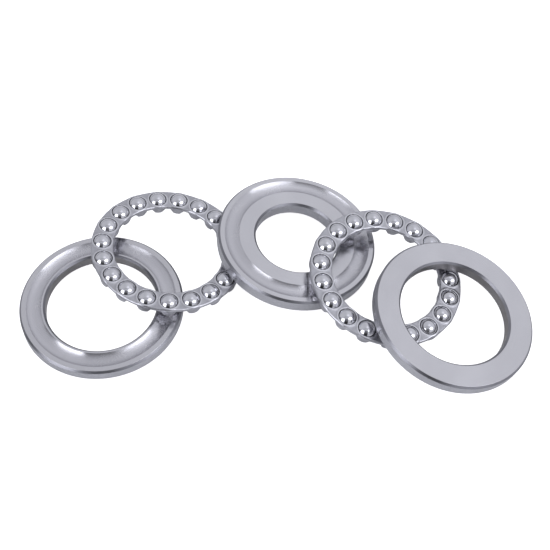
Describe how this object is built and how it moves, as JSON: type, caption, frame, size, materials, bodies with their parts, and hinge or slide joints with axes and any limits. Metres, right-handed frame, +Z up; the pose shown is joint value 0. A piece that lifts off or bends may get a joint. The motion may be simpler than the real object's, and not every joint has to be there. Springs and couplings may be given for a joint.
{
  "type": "thrust ball bearing",
  "caption": "Double-direction thrust ball bearing laid out in pieces: grooved steel washers and ball cages leaning on one another.",
  "frame": {"origin": "middle of the footprint of the laid-out pieces, on the surface they lie on", "axes": "+Z up; the row of rings runs along +X, from the flat housing washer to the leaning one"},
  "size_m": [0.328, 0.1644, 0.0337],
  "materials": {
    "washer_steel": "ground and polished bearing steel",
    "cage_steel": "satin pressed sheet steel",
    "ball_steel": "mirror-polished bearing steel"
  },
  "bodies": {
    "housing_washer_a": {"housing_washer_a": "washer_steel"},
    "cage_a": {"cage_a": "cage_steel"},
    "shaft_washer": {"shaft_washer": "washer_steel"},
    "cage_b": {"cage_b": "cage_steel"},
    "housing_washer_b": {"housing_washer_b": "washer_steel"},
    "ball_a_01": {"ball_a_01": "ball_steel"},
    "ball_a_02": {"ball_a_02": "ball_steel"},
    "ball_a_03": {"ball_a_03": "ball_steel"},
    "ball_a_04": {"ball_a_04": "ball_steel"},
    "ball_a_05": {"ball_a_05": "ball_steel"},
    "ball_a_06": {"ball_a_06": "ball_steel"},
    "ball_a_07": {"ball_a_07": "ball_steel"},
    "ball_a_08": {"ball_a_08": "ball_steel"},
    "ball_a_09": {"ball_a_09": "ball_steel"},
    "ball_a_10": {"ball_a_10": "ball_steel"},
    "ball_a_11": {"ball_a_11": "ball_steel"},
    "ball_a_12": {"ball_a_12": "ball_steel"},
    "ball_a_13": {"ball_a_13": "ball_steel"},
    "ball_a_14": {"ball_a_14": "ball_steel"},
    "ball_a_15": {"ball_a_15": "ball_steel"},
    "ball_a_16": {"ball_a_16": "ball_steel"},
    "ball_a_17": {"ball_a_17": "ball_steel"},
    "ball_a_18": {"ball_a_18": "ball_steel"},
    "ball_a_19": {"ball_a_19": "ball_steel"},
    "ball_b_01": {"ball_b_01": "ball_steel"},
    "ball_b_02": {"ball_b_02": "ball_steel"},
    "ball_b_03": {"ball_b_03": "ball_steel"},
    "ball_b_04": {"ball_b_04": "ball_steel"},
    "ball_b_05": {"ball_b_05": "ball_steel"},
    "ball_b_06": {"ball_b_06": "ball_steel"},
    "ball_b_07": {"ball_b_07": "ball_steel"},
    "ball_b_08": {"ball_b_08": "ball_steel"},
    "ball_b_09": {"ball_b_09": "ball_steel"},
    "ball_b_10": {"ball_b_10": "ball_steel"},
    "ball_b_11": {"ball_b_11": "ball_steel"},
    "ball_b_12": {"ball_b_12": "ball_steel"},
    "ball_b_13": {"ball_b_13": "ball_steel"},
    "ball_b_14": {"ball_b_14": "ball_steel"},
    "ball_b_15": {"ball_b_15": "ball_steel"},
    "ball_b_16": {"ball_b_16": "ball_steel"},
    "ball_b_17": {"ball_b_17": "ball_steel"},
    "ball_b_18": {"ball_b_18": "ball_steel"},
    "ball_b_19": {"ball_b_19": "ball_steel"}
  },
  "joints": [
    {"name": "cage_a_spin", "type": "hinge", "parent": "housing_washer_a", "child": "cage_a", "pos_m": [-0.0702, 0.021, 0.01346], "axis": [0.1451, 0.0772, 0.9864], "continuous": true},
    {"name": "shaft_washer_spin", "type": "hinge", "parent": "housing_washer_a", "child": "shaft_washer", "pos_m": [0.013, 0.0297, 0.00798], "axis": [0.1536, 0.0298, 0.9877], "continuous": true},
    {"name": "cage_b_spin", "type": "hinge", "parent": "housing_washer_a", "child": "cage_b", "pos_m": [0.0711, -0.0002, 0.01571], "axis": [0.21, -0.0524, 0.9763], "continuous": true},
    {"name": "housing_washer_b_spin", "type": "hinge", "parent": "housing_washer_a", "child": "housing_washer_b", "pos_m": [0.1112, -0.0294, 0.01259], "axis": [0.2421, -0.0427, 0.9693], "continuous": true},
    {"name": "ball_a_01_roll", "type": "hinge", "parent": "cage_a", "child": "ball_a_01", "pos_m": [-0.08015, 0.06305, 0.01163], "axis": [-0.2301, 0.9722, -0.0422], "continuous": true},
    {"name": "ball_a_02_roll", "type": "hinge", "parent": "cage_a", "child": "ball_a_02", "pos_m": [-0.09313, 0.05767, 0.01396], "axis": [-0.5301, 0.8478, 0.0117], "continuous": true},
    {"name": "ball_a_03_roll", "type": "hinge", "parent": "cage_a", "child": "ball_a_03", "pos_m": [-0.10362, 0.04832, 0.01624], "axis": [-0.7727, 0.6316, 0.0643], "continuous": true},
    {"name": "ball_a_04_roll", "type": "hinge", "parent": "cage_a", "child": "ball_a_04", "pos_m": [-0.11049, 0.036, 0.01821], "axis": [-0.9315, 0.3468, 0.1099], "continuous": true},
    {"name": "ball_a_05_roll", "type": "hinge", "parent": "cage_a", "child": "ball_a_05", "pos_m": [-0.11299, 0.02206, 0.01967], "axis": [-0.9893, 0.0245, 0.1436], "continuous": true},
    {"name": "ball_a_06_roll", "type": "hinge", "parent": "cage_a", "child": "ball_a_06", "pos_m": [-0.11085, 0.00801, 0.02046], "axis": [-0.94, -0.3004, 0.1618], "continuous": true},
    {"name": "ball_a_07_roll", "type": "hinge", "parent": "cage_a", "child": "ball_a_07", "pos_m": [-0.10431, -0.00464, 0.02048], "axis": [-0.7888, -0.5928, 0.1624], "continuous": true},
    {"name": "ball_a_08_roll", "type": "hinge", "parent": "cage_a", "child": "ball_a_08", "pos_m": [-0.09408, -0.01451, 0.01975], "axis": [-0.5521, -0.821, 0.1454], "continuous": true},
    {"name": "ball_a_09_roll", "type": "hinge", "parent": "cage_a", "child": "ball_a_09", "pos_m": [-0.08125, -0.02053, 0.01833], "axis": [-0.2556, -0.9602, 0.1127], "continuous": true},
    {"name": "ball_a_10_roll", "type": "hinge", "parent": "cage_a", "child": "ball_a_10", "pos_m": [-0.06723, -0.02205, 0.01639], "axis": [0.0686, -0.9953, 0.0678], "continuous": true},
    {"name": "ball_a_11_roll", "type": "hinge", "parent": "cage_a", "child": "ball_a_11", "pos_m": [-0.05353, -0.0189, 0.01413], "axis": [0.3854, -0.9226, 0.0155], "continuous": true},
    {"name": "ball_a_12_roll", "type": "hinge", "parent": "cage_a", "child": "ball_a_12", "pos_m": [-0.04164, -0.01143, 0.01179], "axis": [0.6604, -0.7499, -0.0385], "continuous": true},
    {"name": "ball_a_13_roll", "type": "hinge", "parent": "cage_a", "child": "ball_a_13", "pos_m": [-0.03284, -0.00045, 0.00964], "axis": [0.8638, -0.496, -0.0883], "continuous": true},
    {"name": "ball_a_14_roll", "type": "hinge", "parent": "cage_a", "child": "ball_a_14", "pos_m": [-0.02809, 0.01286, 0.0079], "axis": [0.9737, -0.1883, -0.1285], "continuous": true},
    {"name": "ball_a_15_roll", "type": "hinge", "parent": "cage_a", "child": "ball_a_15", "pos_m": [-0.0279, 0.02705, 0.00676], "axis": [0.978, 0.1398, -0.1548], "continuous": true},
    {"name": "ball_a_16_roll", "type": "hinge", "parent": "cage_a", "child": "ball_a_16", "pos_m": [-0.0323, 0.04058, 0.00635], "axis": [0.8763, 0.4528, -0.1643], "continuous": true},
    {"name": "ball_a_17_roll", "type": "hinge", "parent": "cage_a", "child": "ball_a_17", "pos_m": [-0.0408, 0.052, 0.00671], "axis": [0.6797, 0.7167, -0.1561], "continuous": true},
    {"name": "ball_a_18_roll", "type": "hinge", "parent": "cage_a", "child": "ball_a_18", "pos_m": [-0.05249, 0.06005, 0.0078], "axis": [0.4094, 0.9029, -0.1309], "continuous": true},
    {"name": "ball_a_19_roll", "type": "hinge", "parent": "cage_a", "child": "ball_a_19", "pos_m": [-0.0661, 0.06387, 0.0095], "axis": [0.0948, 0.9913, -0.0915], "continuous": true},
    {"name": "ball_b_01_roll", "type": "hinge", "parent": "cage_b", "child": "ball_b_01", "pos_m": [0.06459, 0.0424, 0.0194], "axis": [-0.1505, 0.9849, 0.0852], "continuous": true},
    {"name": "ball_b_02_roll", "type": "hinge", "parent": "cage_b", "child": "ball_b_02", "pos_m": [0.05138, 0.03778, 0.02199], "axis": [-0.456, 0.878, 0.1452], "continuous": true},
    {"name": "ball_b_03_roll", "type": "hinge", "parent": "cage_b", "child": "ball_b_03", "pos_m": [0.0403, 0.02904, 0.0239], "axis": [-0.7121, 0.676, 0.1894], "continuous": true},
    {"name": "ball_b_04_roll", "type": "hinge", "parent": "cage_b", "child": "ball_b_04", "pos_m": [0.03256, 0.01713, 0.02493], "axis": [-0.8911, 0.4007, 0.2132], "continuous": true},
    {"name": "ball_b_05_roll", "type": "hinge", "parent": "cage_b", "child": "ball_b_05", "pos_m": [0.029, 0.00335, 0.02496], "axis": [-0.9734, 0.082, 0.2138], "continuous": true},
    {"name": "ball_b_06_roll", "type": "hinge", "parent": "cage_b", "child": "ball_b_06", "pos_m": [0.03, -0.01082, 0.02398], "axis": [-0.9503, -0.2456, 0.1913], "continuous": true},
    {"name": "ball_b_07_roll", "type": "hinge", "parent": "cage_b", "child": "ball_b_07", "pos_m": [0.03545, -0.02384, 0.02211], "axis": [-0.8242, -0.5466, 0.148], "continuous": true},
    {"name": "ball_b_08_roll", "type": "hinge", "parent": "cage_b", "child": "ball_b_08", "pos_m": [0.04477, -0.0343, 0.01955], "axis": [-0.6088, -0.7883, 0.0887], "continuous": true},
    {"name": "ball_b_09_roll", "type": "hinge", "parent": "cage_b", "child": "ball_b_09", "pos_m": [0.05694, -0.04106, 0.01657], "axis": [-0.3274, -0.9447, 0.0198], "continuous": true},
    {"name": "ball_b_10_roll", "type": "hinge", "parent": "cage_b", "child": "ball_b_10", "pos_m": [0.07064, -0.04339, 0.01349], "axis": [-0.0106, -0.9986, -0.0513], "continuous": true},
    {"name": "ball_b_11_roll", "type": "hinge", "parent": "cage_b", "child": "ball_b_11", "pos_m": [0.0844, -0.04104, 0.01066], "axis": [0.3074, -0.9444, -0.1168], "continuous": true},
    {"name": "ball_b_12_roll", "type": "hinge", "parent": "cage_b", "child": "ball_b_12", "pos_m": [0.09671, -0.03427, 0.00837], "axis": [0.5921, -0.7878, -0.1696], "continuous": true},
    {"name": "ball_b_13_roll", "type": "hinge", "parent": "cage_b", "child": "ball_b_13", "pos_m": [0.10625, -0.02381, 0.00688], "axis": [0.8127, -0.5458, -0.2041], "continuous": true},
    {"name": "ball_b_14_roll", "type": "hinge", "parent": "cage_b", "child": "ball_b_14", "pos_m": [0.11198, -0.01078, 0.00635], "axis": [0.9451, -0.2447, -0.2164], "continuous": true},
    {"name": "ball_b_15_roll", "type": "hinge", "parent": "cage_b", "child": "ball_b_15", "pos_m": [0.11328, 0.00339, 0.00683], "axis": [0.9752, 0.0829, -0.2053], "continuous": true},
    {"name": "ball_b_16_roll", "type": "hinge", "parent": "cage_b", "child": "ball_b_16", "pos_m": [0.11001, 0.01717, 0.00827], "axis": [0.8995, 0.4016, -0.172], "continuous": true},
    {"name": "ball_b_17_roll", "type": "hinge", "parent": "cage_b", "child": "ball_b_17", "pos_m": [0.10252, 0.02907, 0.01052], "axis": [0.7264, 0.6767, -0.12], "continuous": true},
    {"name": "ball_b_18_roll", "type": "hinge", "parent": "cage_b", "child": "ball_b_18", "pos_m": [0.09163, 0.03779, 0.01333], "axis": [0.4746, 0.8785, -0.055], "continuous": true},
    {"name": "ball_b_19_roll", "type": "hinge", "parent": "cage_b", "child": "ball_b_19", "pos_m": [0.07851, 0.0424, 0.0164], "axis": [0.1713, 0.9851, 0.016], "continuous": true}
  ],
  "couplings": [
    {"joint": "ball_a_01_roll", "follows": "cage_a_spin", "ratio": -6.811},
    {"joint": "ball_a_02_roll", "follows": "cage_a_spin", "ratio": -6.811},
    {"joint": "ball_a_03_roll", "follows": "cage_a_spin", "ratio": -6.811},
    {"joint": "ball_a_04_roll", "follows": "cage_a_spin", "ratio": -6.811},
    {"joint": "ball_a_05_roll", "follows": "cage_a_spin", "ratio": -6.811},
    {"joint": "ball_a_06_roll", "follows": "cage_a_spin", "ratio": -6.811},
    {"joint": "ball_a_07_roll", "follows": "cage_a_spin", "ratio": -6.811},
    {"joint": "ball_a_08_roll", "follows": "cage_a_spin", "ratio": -6.811},
    {"joint": "ball_a_09_roll", "follows": "cage_a_spin", "ratio": -6.811},
    {"joint": "ball_a_10_roll", "follows": "cage_a_spin", "ratio": -6.811},
    {"joint": "ball_a_11_roll", "follows": "cage_a_spin", "ratio": -6.811},
    {"joint": "ball_a_12_roll", "follows": "cage_a_spin", "ratio": -6.811},
    {"joint": "ball_a_13_roll", "follows": "cage_a_spin", "ratio": -6.811},
    {"joint": "ball_a_14_roll", "follows": "cage_a_spin", "ratio": -6.811},
    {"joint": "ball_a_15_roll", "follows": "cage_a_spin", "ratio": -6.811},
    {"joint": "ball_a_16_roll", "follows": "cage_a_spin", "ratio": -6.811},
    {"joint": "ball_a_17_roll", "follows": "cage_a_spin", "ratio": -6.811},
    {"joint": "ball_a_18_roll", "follows": "cage_a_spin", "ratio": -6.811},
    {"joint": "ball_a_19_roll", "follows": "cage_a_spin", "ratio": -6.811},
    {"joint": "ball_b_01_roll", "follows": "cage_b_spin", "ratio": -6.811},
    {"joint": "ball_b_02_roll", "follows": "cage_b_spin", "ratio": -6.811},
    {"joint": "ball_b_03_roll", "follows": "cage_b_spin", "ratio": -6.811},
    {"joint": "ball_b_04_roll", "follows": "cage_b_spin", "ratio": -6.811},
    {"joint": "ball_b_05_roll", "follows": "cage_b_spin", "ratio": -6.811},
    {"joint": "ball_b_06_roll", "follows": "cage_b_spin", "ratio": -6.811},
    {"joint": "ball_b_07_roll", "follows": "cage_b_spin", "ratio": -6.811},
    {"joint": "ball_b_08_roll", "follows": "cage_b_spin", "ratio": -6.811},
    {"joint": "ball_b_09_roll", "follows": "cage_b_spin", "ratio": -6.811},
    {"joint": "ball_b_10_roll", "follows": "cage_b_spin", "ratio": -6.811},
    {"joint": "ball_b_11_roll", "follows": "cage_b_spin", "ratio": -6.811},
    {"joint": "ball_b_12_roll", "follows": "cage_b_spin", "ratio": -6.811},
    {"joint": "ball_b_13_roll", "follows": "cage_b_spin", "ratio": -6.811},
    {"joint": "ball_b_14_roll", "follows": "cage_b_spin", "ratio": -6.811},
    {"joint": "ball_b_15_roll", "follows": "cage_b_spin", "ratio": -6.811},
    {"joint": "ball_b_16_roll", "follows": "cage_b_spin", "ratio": -6.811},
    {"joint": "ball_b_17_roll", "follows": "cage_b_spin", "ratio": -6.811},
    {"joint": "ball_b_18_roll", "follows": "cage_b_spin", "ratio": -6.811},
    {"joint": "ball_b_19_roll", "follows": "cage_b_spin", "ratio": -6.811}
  ]
}
